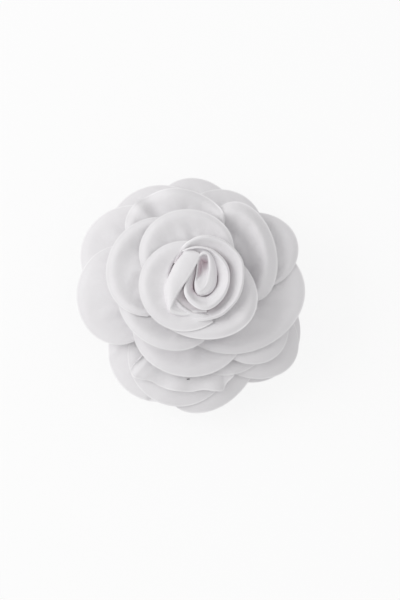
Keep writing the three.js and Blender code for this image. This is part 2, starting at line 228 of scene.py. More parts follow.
# centre, faces, along, across, turned, rim and crown are the construction's own values. cup sinks
# the cloth inside the rim from cup_from on, lip rolls the rim down over lip_width, tilt raises one
# side over the other, and wave is the height, number and phase of the slow waves along the rim.
# A pinch is a ridge or a groove: its place from side to side, height, width and reach inwards.
# cut is the outline of a petal that isn't a round.
petals = {
    "back_petal_1": dict(row="back", centre=(24, -17), faces=315, along=21, across=22, turned=0,
                         rim=-8, crown=9, cup=0, lip=0.6, tilt=0.4, wave=(0.5, 3, 0.4)),
    "back_petal_2": dict(row="back", centre=(6, -30), faces=280, along=18, across=24, turned=39,
                         rim=-9, crown=10, cup=0, lip=0.4, tilt=0, wave=(0.5, 4, 1.2)),
    "back_petal_3": dict(row="back", centre=(-16, -25), faces=238, along=22, across=22, turned=0,
                         rim=-9, crown=10, cup=0, lip=0.4, tilt=0, wave=(0.5, 3, 2.2),
                         pinches=[(0.2, -1.0, 0.03, 16), (-0.45, 0.7, 0.06, 10)]),
    "back_petal_4": dict(row="back", centre=(-8, -28), faces=255, along=21, across=22, turned=0,
                         rim=-9, crown=10, cup=0, lip=0.4, tilt=0, wave=(0.5, 4, 0.2)),
    "back_petal_5": dict(row="back", centre=(21, -18.5), faces=320, along=24, across=18, turned=20,
                         rim=-5, crown=8, cup=0, lip=0.6, tilt=0, wave=(0.7, 4, 1.9)),
    "outer_petal_1": dict(row="outer", centre=(-1, 30.5), faces=92, along=22, across=19, turned=0,
                          rim=-9, crown=11, cup=0, lip=0.5, tilt=0, wave=(0.6, 3, 1.1)),
    "outer_petal_2": dict(row="outer", centre=(9.5, 25), faces=68, along=22, across=19, turned=0,
                          rim=-5, crown=9, cup=0, lip=0.5, tilt=0, wave=(0.6, 3, 2.6)),
    "back_petal_6": dict(row="back", centre=(-3, -33), faces=268, along=11, across=24, turned=0,
                         rim=0.5, crown=3, cup=0, lip=0.5, tilt=0, wave=(0.5, 7, 0.8),
                         cut=[(-23.6, -27.8), (-25.2, -30.3), (-27.6, -32.7), (-28.6, -35.2),
                              (-27.5, -37.6), (-24.5, -38.6), (-20.2, -39.2), (-16.0, -41.3),
                              (-11.7, -42.9), (-7.4, -43.5), (-3.2, -43.6), (2.0, -42.7), (6.2, -43.1),
                              (10.5, -42.9), (12.1, -39.8), (14.6, -37.3), (16.2, -34.8)],
                         pinches=[(-0.5, 0.7, 0.07, 9), (-0.1, -0.5, 0.1, 8), (0.66, -0.7, 0.06, 8)]),
    "outer_petal_3": dict(row="outer", centre=(-17, 26), faces=120, along=21, across=22, turned=12,
                          rim=-4, crown=9, cup=0, lip=0.6, tilt=0, wave=(0.5, 3, 0.5)),
    "outer_petal_4": dict(row="outer", centre=(11, -15.5), faces=300, along=21, across=22, turned=0,
                          rim=0, crown=6, cup=0, lip=0.6, tilt=0, wave=(0.4, 3, 1.5)),
    "outer_petal_5": dict(row="outer", centre=(18.5, -12), faces=315, along=22, across=18, turned=0,
                          rim=4, crown=5, cup=0, lip=0.7, tilt=0, wave=(0.4, 3, 2.0)),
    "outer_petal_6": dict(row="outer", centre=(-29.5, 14.5), faces=150, along=21, across=22, turned=0,
                          rim=2, crown=6, cup=0, lip=0.8, tilt=0, wave=(0.5, 3, 0.9)),
    "outer_petal_7": dict(row="outer", centre=(-34, -3.5), faces=190, along=18, across=21, turned=-7,
                          rim=3, crown=3.4, cup=0, lip=0.8, tilt=0, wave=(0.5, 3, 1.7)),
    "wide_petal_1": dict(row="wide", centre=(-4.5, -17), faces=265, along=21, across=24, turned=4,
                         rim=7, crown=3, cup=1, lip=1.0, tilt=0, wave=(0.5, 3, 2.7)),
    "wide_petal_2": dict(row="wide", centre=(17, -4.5), faces=318, along=29, across=23, turned=67,
                         rim=10, crown=2, cup=1, lip=1.2, tilt=0, wave=(0.6, 4, 0.3)),
    "wide_petal_3": dict(row="wide", centre=(22.5, 15.5), faces=20, along=20, across=17, turned=0,
                         rim=10, crown=3, cup=1, lip=1.0, tilt=0, wave=(0.5, 3, 1.4)),
    "middle_petal_1": dict(row="middle", centre=(17.5, 14.5), faces=30, along=14, across=22, turned=-15,
                           rim=19.5, crown=0, cup=5.5, lip=4.0, tilt=0, wave=(0.4, 2, 1.0),
                           lip_width=3.6, cup_from=5),
    "middle_petal_2": dict(row="middle", centre=(-11.5, 25), faces=105, along=16, across=21, turned=-10,
                           rim=17, crown=1, cup=1.2, lip=1.6, tilt=0, wave=(0.8, 4, 2.1),
                           pinches=[(0.36, 1.5, 0.09, 15), (0.16, -2.4, 0.13, 17)]),
    "middle_petal_3": dict(row="middle", centre=(-14.5, -8.5), faces=225, along=19, across=22, turned=7,
                           rim=19, crown=0, cup=1.2, lip=1.2, tilt=0, wave=(0.5, 3, 0.6)),
    "middle_petal_4": dict(row="middle", centre=(-20.5, 6.5), faces=155, along=19, across=22, turned=-5,
                           rim=20, crown=0, cup=1.4, lip=1.4, tilt=0, wave=(0.5, 3, 1.8)),
    "inner_petal_1": dict(row="inner", centre=(-7, 12.5), faces=105, along=18, across=20, turned=0,
                          rim=23, crown=0, cup=1.4, lip=1.4, tilt=0, wave=(0.4, 3, 0.2)),
    "inner_petal_2": dict(row="inner", centre=(-2, -4), faces=310, along=25, across=20, turned=32,
                          rim=24, crown=0, cup=1.4, lip=1.4, tilt=0, wave=(0.4, 3, 2.4),
                          pinches=[(0.12, 1.0, 0.09, 8)]),
    "inner_petal_3": dict(row="inner", centre=(-8, -2.5), faces=190, along=19, across=19, turned=0,
                          rim=25, crown=0, cup=1.6, lip=1.4, tilt=0, wave=(0.4, 3, 1.3)),
}

# The pile is the height of all cloth laid so far, on a square grid round the flower's axis.
pile_cell = 0.4
pile_half = 66
pile_side = int(2 * pile_half / pile_cell) + 1
far_below = -1000.0
arm_margin = 2
felt_margin = 1
pile = np.full((pile_side, pile_side), far_below)
felt_low, felt_high = (np.array(corner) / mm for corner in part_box("felt_backing"))
arm_low, arm_high = (np.array(corner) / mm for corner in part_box("top_arm"))
petal_floor = felt_high[2] + layer
grid_line = np.arange(pile_side) * pile_cell - pile_half
grid_x, grid_y = np.meshgrid(grid_line, grid_line)
over_arm = ((abs(grid_y) < arm_high[1] + arm_margin) & (grid_x > arm_low[0] - arm_margin)
            & (grid_x < arm_high[0] + arm_margin))
pile[over_arm] = arm_high[2]
pile[np.hypot(grid_x, grid_y) < felt_high[0] + felt_margin] = felt_high[2]
lift_rounds = 60             # how far a lift spreads over a petal
pile_detail = 4              # points laid on the pile for each point of a petal


def smoothstep(value):
    value = np.clip(value, 0, 1)
    return value * value * (3 - 2 * value)


def smooth_line(points, count):
    """A smooth curve through points given as rows of numbers, at `count` even steps."""
    p = np.array(points, float)
    p = np.vstack([2 * p[0] - p[1], p, 2 * p[-1] - p[-2]])
    place = np.linspace(0, len(p) - 3 - 1e-9, count)
    i, t = place.astype(int), (place % 1)[:, None]
    a, b, c, d = p[i], p[i + 1], p[i + 2], p[i + 3]
    return 0.5 * (2 * b + (c - a) * t + (2 * a - 5 * b + 4 * c - d) * t ** 2
                  + (3 * b - a - 3 * c + d) * t ** 3)


def over_pile():
    """The pile raised so that a ball as thick as one layer stays clear of it."""
    raised = pile.copy()
    reach = int(math.ceil(layer / pile_cell))
    for dy in range(-reach, reach + 1):
        for dx in range(-reach, reach + 1):
            away = math.hypot(dx, dy) * pile_cell
            if 0 < away < layer:
                moved = np.roll(pile, (dy, dx), (0, 1)) + math.sqrt(layer ** 2 - away ** 2)
                raised = np.maximum(raised, moved)
    return np.maximum(raised, pile + layer)


def look_up(grid, x, y):
    """Values of a grid at plan points, between its cells."""
    column = (x + pile_half) / pile_cell
    row = (y + pile_half) / pile_cell
    c, r = np.floor(column).astype(int), np.floor(row).astype(int)
    fc, fr = column - c, row - r
    top = grid[r, c] * (1 - fc) + grid[r, c + 1] * fc
    return top * (1 - fr) + (grid[r + 1, c] * (1 - fc) + grid[r + 1, c + 1] * fc) * fr


def soften(values, rounds):
    """Mean of each point and its neighbours on a sheet, some rounds over."""
    for _ in range(rounds):
        wide = np.pad(values, 1, mode="edge")
        beside = wide[:-2, 1:-1] + wide[2:, 1:-1] + wide[1:-1, :-2] + wide[1:-1, 2:]
        values = (beside + 2 * values) / 6
    return values


def stretch(values, factor):
    """A sheet's values at `factor` times as many points each way."""
    for axis in (0, 1):
        count = values.shape[axis]
        old, new = np.arange(count), np.linspace(0, count - 1, (count - 1) * factor + 1)
        values = np.apply_along_axis(lambda line: np.interp(new, old, line), axis, values)
    return values


def lay_on_pile(x, y, z):
    """Lifts a sheet where it would touch the pile, spreads the lift softly, and adds it to the pile."""
    floor = look_up(over_pile(), x, y)
    need = np.maximum(floor - z, 0)
    lift = need
    for _ in range(lift_rounds):
        lift = np.maximum(soften(lift, 1), need)
    z = np.maximum(z + lift, floor)
    fine_x, fine_y, fine_z = (stretch(values, pile_detail) for values in (x, y, z))
    column = np.rint((fine_x + pile_half) / pile_cell).astype(int)
    row = np.rint((fine_y + pile_half) / pile_cell).astype(int)
    np.maximum.at(pile, (row, column), fine_z)
    return z


rim_crowding = 0.8           # below 1, the rows of points crowd towards the rim
fall_curve = 1.5
cup_fade = 9                 # how far in the cup and the rim's waves change over
wave_span = math.pi / 2 * 1.3
# The foot is gathered on a thread, so small folds run out from it: height, number, phase, where
# they start from the rim, and how far they take to grow.
gathers = [(0.28, 15, 3, 4, 8), (0.16, 29, 5, 2, 9)]


def petal_sheet(shape):
    """Plan, height and distance from the rim of a petal's points, before it is laid on the others."""
    row = rows[shape["row"]]
    out = np.linspace(0, 1, points_out)[:, None] ** rim_crowding
    side = np.linspace(-1, 1, points_across)[None, :]
    faces, turned = math.radians(shape["faces"]), math.radians(shape["turned"])
    spread = math.radians(row["sweep"]) * side
    lengthwise = shape["along"] * np.cos(spread - turned)
    sideways = shape["across"] * np.sin(spread - turned)
    cosine, sine = math.cos(faces + turned), math.sin(faces + turned)
    rim_x = shape["centre"][0] + lengthwise * cosine - sideways * sine
    rim_y = shape["centre"][1] + lengthwise * sine + sideways * cosine
    if "cut" in shape:
        rim_x, rim_y = smooth_line(shape["cut"], points_across).T[:, None, :]
    root_x = row["root"] * np.cos(faces + spread * row["wrap"])
    root_y = row["root"] * np.sin(faces + spread * row["wrap"])
    x = root_x + (rim_x - root_x) * out
    y = root_y + (rim_y - root_y) * out
    middle = points_across // 2
    reach = math.hypot(rim_x[0, middle], rim_y[0, middle])
    radius = np.hypot(x, y)
    shoulder = row["shoulder"] * reach
    climb = smoothstep((radius - row["root"]) / (shoulder - row["root"]))
    fall = np.clip((radius - shoulder) / (reach - shoulder), 0, 1) ** fall_curve
    top = shape["rim"] + shape["crown"]
    from_rim = (1 - out) * np.hypot(rim_x - root_x, rim_y - root_y)
    z = petal_floor + (top - petal_floor) * climb - shape["crown"] * fall
    z = z - shape["cup"] * smoothstep((from_rim - shape.get("cup_from", 1.5)) / cup_fade) * climb
    z = z - shape["lip"] * np.exp(-(from_rim / shape.get("lip_width", 2.2)) ** 2)
    for at, height, width, reach_in in shape.get("pinches", ()):
        z = z + height * np.exp(-((side - at) / width) ** 2) * np.exp(-(from_rim / reach_in) ** 2)
    height, count, phase = shape["wave"]
    z = z + height * np.sin(count * side * wave_span + phase) * np.exp(-(from_rim / cup_fade) ** 2)
    z = z + shape["tilt"] * side * out
    for height, count, turns_on, starts, grows in gathers:
        folds = height * np.sin(count * side + turns_on * phase)
        z = z + folds * smoothstep((from_rim - starts) / grows) * np.cos(side * math.pi / 2)
    return x, y, z, from_rim


smooth_below = math.radians(50)


def finish_piece(piece):
    """Makes a piece the only one selected, applies its modifiers and smooths all but its sharp edges."""
    bpy.ops.object.select_all(action="DESELECT")
    bpy.context.view_layer.objects.active = piece
    piece.select_set(True)
    for modifier in list(piece.modifiers):
        bpy.ops.object.modifier_apply(modifier=modifier.name)
    bpy.ops.object.shade_smooth_by_angle(angle=smooth_below)


def sheet_mesh(name, x, y, z, from_rim):
    """Cloth of one thickness whose upper face is the sheet, with its rim distance and lengths kept."""
    corner = np.arange(x.size).reshape(x.shape)
    around = [corner[:-1, :-1], corner[1:, :-1], corner[1:, 1:], corner[:-1, 1:]]
    quads = np.stack(around, -1).reshape(-1, 4)
    points = np.stack([x, y, z], -1).reshape(-1, 3) * mm
    mesh = bpy.data.meshes.new(name)
    mesh.from_pydata(points.tolist(), [], quads.tolist())
    seal_and_highlight = mesh.attributes.new("from_rim", "FLOAT", "POINT")
    seal_and_highlight.data.foreach_set("value", from_rim.reshape(-1).astype(np.float32))
    steps_across = np.hypot(np.diff(x, axis=1), np.diff(y, axis=1)).mean(0)
    along_u = np.concatenate([[0], np.cumsum(steps_across)]) * mm
    u = np.broadcast_to(along_u[None, :], x.shape).reshape(-1)
    v = (from_rim * mm).reshape(-1)
    layer_uv = mesh.uv_layers.new(name="cloth")
    corners = np.zeros(len(mesh.loops), np.int32)
    mesh.loops.foreach_get("vertex_index", corners)
    corner_uv = np.stack([u[corners], v[corners]], -1).astype(np.float32)
    layer_uv.data.foreach_set("uv", corner_uv.reshape(-1))
    piece = bpy.data.objects.new(name, mesh)
    bpy.context.collection.objects.link(piece)
    thick = piece.modifiers.new("thickness", "SOLIDIFY")
    thick.thickness = cloth * mm
    thick.offset = -1
    finish_piece(piece)
    return piece


def petal_material(name, depth_shade_colour):
    """Stiffened chiffon: a fine weave, slow soft creases, and a fused rim that is smoother, with a highlight
    painted whiter along it.
    Deep in the bud the cloth may carry painted shade, darker and pinker."""
    worn_white, clean_white = (0.80, 0.785, 0.802, 1), (0.87, 0.856, 0.87, 1)
    rim_highlight_white = (0.93, 0.92, 0.93, 1)
    material, shader, start = new_material(name)
    place = start.node("ShaderNodeTexCoord", output="Object")
    cloth_uv = start.node("ShaderNodeUVMap", {"uv_map": "cloth"})
    rim = start.node("ShaderNodeAttribute", {"attribute_name": "from_rim"}, output="Fac")
    # The band along the rim: the fused edge is smoother there, and a highlight is painted on it.
    seal_and_highlight = 1 - rim.clamped(0.25, 0.75)
    slow = start.node("ShaderNodeTexNoise", Vector=place, Scale=55.0, Detail=3.0, Roughness=0.5)
    fine = start.node("ShaderNodeTexNoise", Vector=place, Scale=420.0, Detail=2.0, Roughness=0.55)
    base = slow.mix(worn_white, clean_white)
    if depth_shade_colour:
        height = start.node("ShaderNodeSeparateXYZ", output="Z", Vector=place)
        aside = start.node("ShaderNodeVectorMath", {"operation": "MULTIPLY"}, i0=place, i1=(1, 1, 0))
        radius = start.node("ShaderNodeVectorMath", {"operation": "LENGTH"}, output="Value", i0=aside)
        # painted shade: low in the bud and near its axis the cloth is painted darker and pinker, as the folds
        # shade it
        depth_shade = (1 - height.clamped(0.0205, 0.0262)) * (1 - radius.clamped(0.0125, 0.0155))
        base = (depth_shade * 0.9).mix(base, depth_shade_colour)
    # painted highlight: the cloth along the rim is painted whiter
    (seal_and_highlight * 0.75).mix(base, rim_highlight_white).feeds(shader, "Base Color")
    (0.78 - seal_and_highlight * 0.3).feeds(shader, "Roughness")
    warp, weft = (start.node("ShaderNodeTexWave", {"wave_type": "BANDS", "bands_direction": way},
                             Vector=cloth_uv, Scale=900.0, Distortion=0.4, Detail=1.0) for way in "XY")
    relief = slow * 0.9 + fine * 0.12 + (warp + weft) * 0.012
    start.node("ShaderNodeBump", Height=relief, Strength=0.55, Distance=0.0016).feeds(shader, "Normal")
    shader.inputs["Sheen Weight"].default_value = 0.12
    shader.inputs["Sheen Roughness"].default_value = 0.4
    shader.inputs["Specular IOR Level"].default_value = 0.3
    return material


chiffon = petal_material("white_chiffon", None)
# the bud's cloth has shade painted deep among its folds
shaded_bud_chiffon = petal_material("shaded_bud_chiffon", (0.82, 0.70, 0.745, 1))


def add_petal(name, x, y, z, from_rim, material=chiffon):
    """Makes a petal's piece."""
    piece = sheet_mesh(name + "_cloth", x, y, z, from_rim)
    piece.data.materials.append(material)
    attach(piece, "root")
    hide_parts(name)


for name, shape in petals.items():
    x, y, z, from_rim = petal_sheet(shape)
    add_petal(name, x, y, lay_on_pile(x, y, z), from_rim)

# ---- Bud ------------------------------------------------------------------------------------
# Four rounds of the same chiffon are rolled and folded tightly round one another: a folded cornet
# at the heart, one petal round it with its rim flared, a broad one folded in from the left, and
# one round the outside. Each is set by a few lines of points, from deep in the bud to its rim.

bud_across = 120
bud_out = 30
fold_out = 50                # the folded petal turns back on itself, so it needs more rows
bud_foot = 8


def loft(drawn, out, rim_row):
    """A sheet smoothly through drawn lines, and each point's distance from its rim."""
    across = drawn.shape[1]
    grid = np.stack([smooth_line(drawn[:, column], out) for column in range(across)], 1)
    steps = np.linalg.norm(np.diff(grid, axis=0), axis=-1)
    along = np.concatenate([np.zeros((1, across)), np.cumsum(steps, 0)])
    return grid[..., 0], grid[..., 1], grid[..., 2], abs(along - along[rim_row])


def sheet_through(lines, out=bud_out, rim_line=-1):
    """A sheet through lines of points that start deep in the bud. rim_line is the rim among them."""
    drawn = np.array([smooth_line(line, bud_across) for line in lines])
    rim_row = round((rim_line % len(lines)) / (len(lines) - 1) * (out - 1))
    return loft(drawn, out, rim_row)


def moved_in(line, inward, drop, times=1.0):
    """A line of points brought towards the bud's axis by a length or a share, and lowered."""
    moved = []
    for x, y, z in line:
        radius = math.hypot(x, y)
        share = (radius - inward) / radius * times
        moved.append((x * share, y * share, z - drop))
    return moved


def foot_of(line, share):
    """A line's foot: the same line at the bottom of the bud, drawn in to a share of its width."""
    return [(x * share, y * share, bud_foot) for x, y, _ in line]


# Outermost: from behind the left of the bud, round the right, to under its lower left.
wrap_rim = [(-12.9, 7.6, 22.2), (-10.9, 11.9, 23.6), (-8.6, 14.3, 24.8), (-6.9, 15.8, 25.6),
            (-3.3, 17.6, 26.5), (0.4, 18.2, 27.0), (5.0, 17.3, 27.0), (9.1, 15.4, 27.0), (13.3, 11.7, 27.0),
            (15.7, 7.6, 27.0), (16.2, 2.4, 27.0), (15.7, -2.8, 27.0), (13.8, -7.9, 26.6), (10.6, -12.0, 26.3),
            (6.5, -15.3, 26.0), (1.3, -16.9, 25.5), (-3.3, -17.2, 24.5), (-7.0, -16.8, 23.0)]
wrap_lip = moved_in(wrap_rim, 0.9, -0.5)
wrap_inside = moved_in(wrap_rim, 2.6, 1.1)
wrap_low = moved_in(wrap_rim, 5.6, 3.2)
wrap_deep = moved_in(wrap_rim, 6.4, 7.5)
outer_wrap = [foot_of(wrap_rim, 0.55), wrap_deep, wrap_low, wrap_inside, wrap_lip, wrap_rim]

# Next in: its left end is a narrow tongue, and the rest of its rim is flared round the heart.
flare_rim = [(-4.5, 6.8, 25.6), (-6.3, 1.6, 26.0), (-8.4, -3.2, 26.3), (-8.5, -6.3, 26.8),
             (-7.1, -9.3, 27.3), (-5.1, -11.3, 27.6),
             (-2.5, -12.8, 27.8), (1.1, -13.1, 27.8), (4.8, -11.1, 27.8), (8.1, -7.3, 27.8),
             (10.0, -2.6, 27.8), (10.3, 2.1, 27.8), (9.1, 6.3, 27.8), (6.4, 9.9, 27.6),
             (2.3, 12.7, 27.3), (-2.3, 13.7, 26.8), (-6.4, 13.3, 25.8), (-9.3, 12.2, 24.6)]
flare_crest = [(-4.0, 6.6, 25.4), (-5.5, 1.8, 25.9), (-7.2, -2.4, 26.3), (-7.1, -5.7, 27.2),
               (-5.8, -8.3, 27.8), (-4.1, -9.9, 28.0),
               (-1.9, -11.2, 28.2), (1.1, -11.4, 28.3), (4.1, -9.6, 28.3), (7.0, -6.5, 28.3),
               (8.9, -2.5, 28.3), (9.2, 1.9, 28.3), (8.1, 5.7, 28.3), (5.6, 9.0, 28.1),
               (2.0, 11.8, 27.8), (-2.3, 12.8, 27.3), (-6.2, 12.5, 26.3), (-8.9, 11.5, 25.0)]
flare_inside = [(-3.6, 6.2, 24.8), (-4.9, 1.8, 25.0), (-5.7, -1.5, 24.8), (-5.6, -4.8, 24.5),
                (-4.4, -7.4, 25.6), (-3.1, -8.5, 26.0),
                (-1.0, -9.2, 26.3), (1.3, -9.1, 26.3), (3.5, -7.6, 26.3), (5.8, -4.9, 26.3),
                (7.4, -1.7, 26.3), (7.6, 2.1, 26.3), (6.8, 5.4, 26.3), (4.8, 8.5, 26.2),
                (1.9, 11.3, 26.0), (-1.9, 12.3, 25.5), (-5.6, 12.1, 24.5), (-7.9, 11.1, 23.0)]
flare_low = moved_in(flare_inside, 0, 1.7, 0.76)
flare_deep = moved_in(flare_inside, 0, 6.5, 0.7)
flared_petal = [foot_of(flare_inside, 0.64), flare_deep, flare_low, flare_inside, flare_crest, flare_rim]

# Folded in from the left: broad and smooth, its rim leans over the heart, then turns a corner at
# the bottom and shows its inner face.
fold_rim = [(-5.6, 12.3, 24.8), (-3.4, 11.2, 26.4), (-2.4, 9.7, 27.4), (-4.4, 5.2, 27.6), (-7.1, 0.3, 27.5),
            (-9.9, -3.4, 27.0), (-12.0, -7.2, 27.0), (-13.6, -10.9, 26.5), (-13.9, -12.9, 26.0),
            (-11.8, -14.0, 25.5), (-7.3, -14.5, 25.0), (-3.1, -13.2, 25.0), (1.0, -13.0, 24.6)]
fold_middle = [(-6.6, 12.4, 24.6), (-6.4, 11.5, 25.8), (-6.3, 10.4, 26.9), (-9.1, 7.5, 27.0),
               (-11.6, 2.4, 27.0),
               (-13.8, -1.8, 26.8), (-14.8, -5.5, 26.5), (-14.9, -9.6, 25.6), (-14.4, -13.0, 25.3),
               (-12.1, -14.5, 24.9), (-7.4, -14.9, 24.4), (-3.1, -13.7, 24.4), (1.0, -13.4, 24.0)]
fold_outside = [(-7.6, 12.4, 23.8), (-8.2, 11.8, 24.2), (-9.0, 10.6, 24.4), (-12.1, 6.5, 24.0),
                (-14.7, 0.8, 24.0),
                (-16.3, -3.4, 23.8), (-16.1, -7.4, 22.8), (-15.6, -10.8, 21.8), (-14.4, -13.2, 22.0),
                (-11.8, -14.1, 22.0), (-7.2, -14.4, 22.0), (-3.0, -13.3, 22.0), (1.0, -13.0, 21.6)]
fold_tuck = [(-5.2, 11.6, 24.2), (-4.1, 10.8, 24.8), (-3.3, 9.6, 25.4), (-4.9, 5.4, 25.6), (-8.0, 0.2, 25.5),
             (-9.2, -3.2, 25.0), (-10.6, -6.4, 24.6), (-11.4, -8.6, 24.3), (-11.2, -10.0, 24.2),
             (-9.8, -11.0, 24.2), (-6.8, -12.0, 24.2), (-3.4, -12.0, 24.2), (0.8, -11.8, 23.9)]
fold_floor = [(-5.4, 10.6, 20.5), (-4.8, 10.0, 20.5), (-4.2, 9.2, 20.5), (-5.2, 5.4, 22.0), (-7.2, 0.3, 22.4),
              (-8.0, -2.8, 22.6), (-7.6, -4.8, 22.8), (-7.4, -6.0, 22.8), (-7.0, -7.2, 22.8),
              (-6.4, -8.2, 23.2), (-5.4, -9.2, 23.4), (-3.2, -9.8, 23.4), (0.6, -9.8, 23.2)]
folded_petal = [foot_of(fold_outside, 0.66), moved_in(fold_outside, 1.6, 6), fold_outside, fold_middle,
                fold_rim, fold_tuck, fold_floor, moved_in(fold_floor, 1.2, 7)]

# Heart: a petal folded into a cornet. Its crest is a hairpin, hollow behind and full in front.
heart_crest = [(-3.2, 3.3, 25.7), (-3.0, 6.4, 26.7), (-2.3, 9.0, 27.5), (-0.6, 10.2, 28.0),
               (0.9, 9.8, 28.0),
               (1.7, 7.5, 28.0), (1.9, 4.1, 28.0), (1.7, 0.8, 28.0), (1.1, -2.5, 27.6), (-0.5, -5.0, 27.2),
               (-2.5, -5.8, 26.8), (-3.7, -4.1, 26.5), (-4.0, -1.5, 26.3), (-3.5, 1.5, 26.0)]
heart_inside = [(-1.6, 4.6, 22.4), (-1.4, 6.8, 22.0), (-0.8, 8.5, 22.2), (0.2, 9.2, 21.5), (1.0, 8.9, 22.0),
                (1.3, 7.2, 23.0), (1.2, 4.8, 24.5), (0.9, 1.6, 26.0), (0.4, -1.1, 27.0), (-0.7, -2.9, 27.3),
                (-1.9, -3.3, 27.2), (-2.8, -2.0, 26.8), (-2.8, -0.2, 26.0), (-2.2, 2.2, 23.5)]
heart_outside = [(-3.3, 3.8, 23.0), (-3.0, 7.5, 23.5), (-2.4, 10.3, 24.0), (-0.6, 12.0, 24.5),
                 (2.3, 11.4, 24.5),
                 (4.2, 8.7, 24.5), (5.2, 5.3, 24.5), (5.4, 1.5, 24.5), (4.8, -2.5, 24.5), (2.3, -5.7, 24.5),
                 (-1.4, -6.7, 24.0), (-3.4, -5.4, 23.5), (-4.1, -1.7, 23.0), (-3.6, 1.7, 22.5)]
heart_middle = (-0.6, 2.6, 24.8)
heart_out = 41
crest_highlight_narrowing = 0.3         # the painted highlight and the smoother band are narrower on the crest, where the cloth turns over


def heart_sheet():
    """The cornet: closed rings of points from its foot over the crest to its middle."""
    steps = 8
    rings = [foot_of(heart_outside, 0.8), heart_outside, heart_crest, heart_inside,
             [heart_middle] * len(heart_crest)]
    drawn = []
    for ring in rings:
        # A ring's own ends are repeated round it, so that the curve meets itself smoothly.
        closed = [ring[-1]] + ring + [ring[0], ring[1]]
        drawn.append(smooth_line(closed, (len(ring) + 2) * steps + 1)[steps:-steps])
    x, y, z, from_crest = loft(np.array(drawn), heart_out, heart_out // 2)
    return x, y, z, from_crest + crest_highlight_narrowing


bud_sheets = {
    "bud_petal_outer": sheet_through(outer_wrap),
    "bud_petal_left": sheet_through(folded_petal, fold_out, rim_line=folded_petal.index(fold_rim)),
    "bud_petal_inner": sheet_through(flared_petal),
    "bud_roll": heart_sheet(),
}
for name, (x, y, z, from_rim) in bud_sheets.items():
    add_petal(name, x, y, z, from_rim, shaded_bud_chiffon)

# ---- Loose stitch ---------------------------------------------------------------------------
# The end of the grey thread that gathers the petals' feet shows as a dark speck on the lowest one.

stitch_x, stitch_y = -4.4, -38.4
thread_radius = 0.16
stitch_loop = [(-0.7, -0.1, -0.5), (-0.4, -0.05, 0.1), (0, 0, 0.3), (0.4, 0.08, 0.1), (0.7, 0.1, -0.5)]
above_all = Vector((stitch_x * mm, stitch_y * mm, 0.05))
_, on_cloth, _, _ = bpy.data.objects["back_petal_6_cloth"].ray_cast(above_all, Vector((0, 0, -1)))
stitch_z = on_cloth.z / mm


def wire_along(name, points, radius, roundness):
    """A round thread or wire through points in millimetres, with its ends closed."""
    curve = bpy.data.curves.new(name + "_curve", "CURVE")
    curve.dimensions = "3D"
    curve.bevel_depth = radius * mm
    curve.bevel_resolution = roundness
    curve.use_fill_caps = True
    spline = curve.splines.new("POLY")
    spline.points.add(len(points) - 1)
    for point, (x, y, z) in zip(spline.points, points):
        point.co = (x * mm, y * mm, z * mm, 1)
    piece = bpy.data.objects.new(name, curve)
    bpy.context.collection.objects.link(piece)
    bpy.ops.object.select_all(action="DESELECT")
    bpy.context.view_layer.objects.active = piece
    piece.select_set(True)
    bpy.ops.object.convert(target="MESH")
    piece = bpy.context.object
    finish_piece(piece)
    return piece


stitch_points = smooth_line(stitch_loop, 24) + [stitch_x, stitch_y, stitch_z]
stitch = wire_along("loose_stitch", stitch_points, thread_radius, 3)


def thread_material():
    """Twisted grey thread, darker between its plies."""
    dark_grey, mid_grey = (0.03, 0.03, 0.035, 1), (0.12, 0.12, 0.13, 1)
    material, shader, start = new_material("grey_thread")
    place = start.node("ShaderNodeTexCoord", output="Object")
    ply = start.node("ShaderNodeTexNoise", Vector=place, Scale=4000.0, Detail=1.0)
    ply.mix(dark_grey, mid_grey).feeds(shader, "Base Color")
    shader.inputs["Roughness"].default_value = 0.8
    return material


stitch.data.materials.append(thread_material())
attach(stitch, "root")

# ---- Felt backing ---------------------------------------------------------------------------
# A round of pressed white felt, cut with scissors, covers the petals' feet and takes the glue.
# Its edge is soft and a little uneven, and fibres stand up from its face.

felt_rings = 14
edge_waves = [(0.006, 5, 0.6), (0.004, 13, 0), (0.002, 31, 0)]    # height, number and phase
edge_trim = 0.01
bpy.ops.object.select_all(action="DESELECT")
felt_radius, felt_thick = felt_high[0] * mm, (felt_high[2] - felt_low[2]) * mm
bpy.ops.mesh.primitive_circle_add(vertices=128, radius=felt_radius, fill_type="NGON",
                                  location=(0, 0, felt_low[2] * mm))
felt = bpy.context.object
felt.name = "felt_round"
bpy.ops.object.mode_set(mode="EDIT")
for _ in range(felt_rings):
    bpy.ops.mesh.inset(thickness=felt_radius / (felt_rings + 1))
bpy.ops.object.mode_set(mode="OBJECT")
bpy.ops.object.transform_apply(location=True)
for vertex in felt.data.vertices:
    angle = math.atan2(vertex.co.y, vertex.co.x)
    share = math.hypot(vertex.co.x, vertex.co.y) / felt_radius
    uneven = sum(height * math.sin(count * angle + phase) for height, count, phase in edge_waves)
    at_edge = 1 + (uneven - edge_trim) * share ** 8
    vertex.co.x *= at_edge
    vertex.co.y *= at_edge
thick = felt.modifiers.new("thickness", "SOLIDIFY")
thick.thickness = felt_thick - 0.1 * mm
thick.offset = 1
soft_edge = felt.modifiers.new("soft_edge", "BEVEL")
soft_edge.width = 0.45 * mm
soft_edge.segments = 4
soft_edge.limit_method = "ANGLE"
soft_edge.angle_limit = smooth_below
finish_piece(felt)


